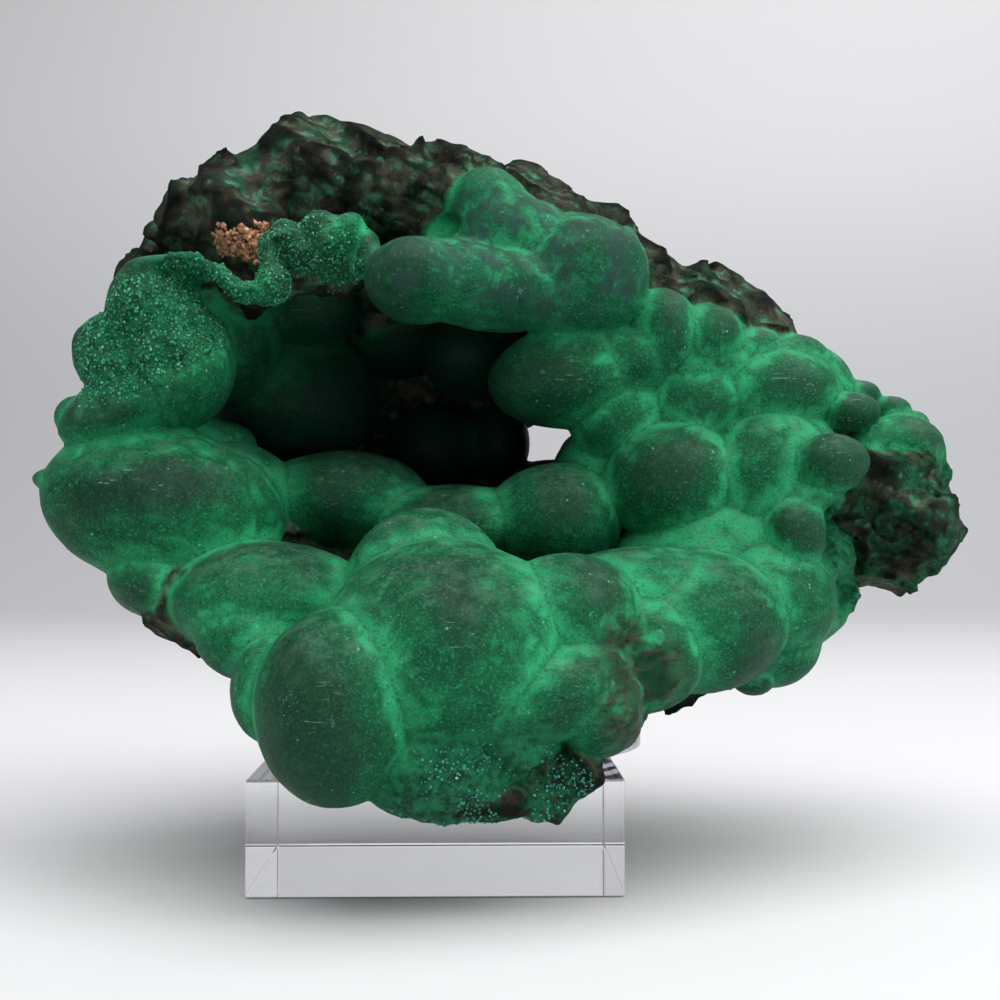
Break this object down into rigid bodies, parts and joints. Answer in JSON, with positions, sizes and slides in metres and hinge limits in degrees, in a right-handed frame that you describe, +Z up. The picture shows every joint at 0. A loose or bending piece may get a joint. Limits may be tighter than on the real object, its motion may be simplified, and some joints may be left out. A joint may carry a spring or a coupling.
{
  "type": "malachite specimen on display block",
  "caption": "Rounded botryoidal green malachite lining and overgrowing an open vug in dark matrix, resting in a flat clear ring on a low clear rectangular display block.",
  "frame": {"origin": "centre of the display block's underside, on the surface it stands on", "axes": "+Z up, -Y towards the show side where the vug opens, +X to the right seen from the show side"},
  "size_m": [0.1785, 0.1225, 0.146],
  "materials": {
    "malachite": "velvety matte green with darker worn crowns, bright creases, and dark brown-black broken matrix",
    "clear_block": "polished clear acrylic, sawn and polished edges",
    "clear_ring": "polished clear acrylic with a faint lilac tint"
  },
  "bodies": {
    "root": {"malachite": "malachite", "acrylic_block": "clear_block", "cradle_ring": "clear_ring"}
  },
  "joints": []
}
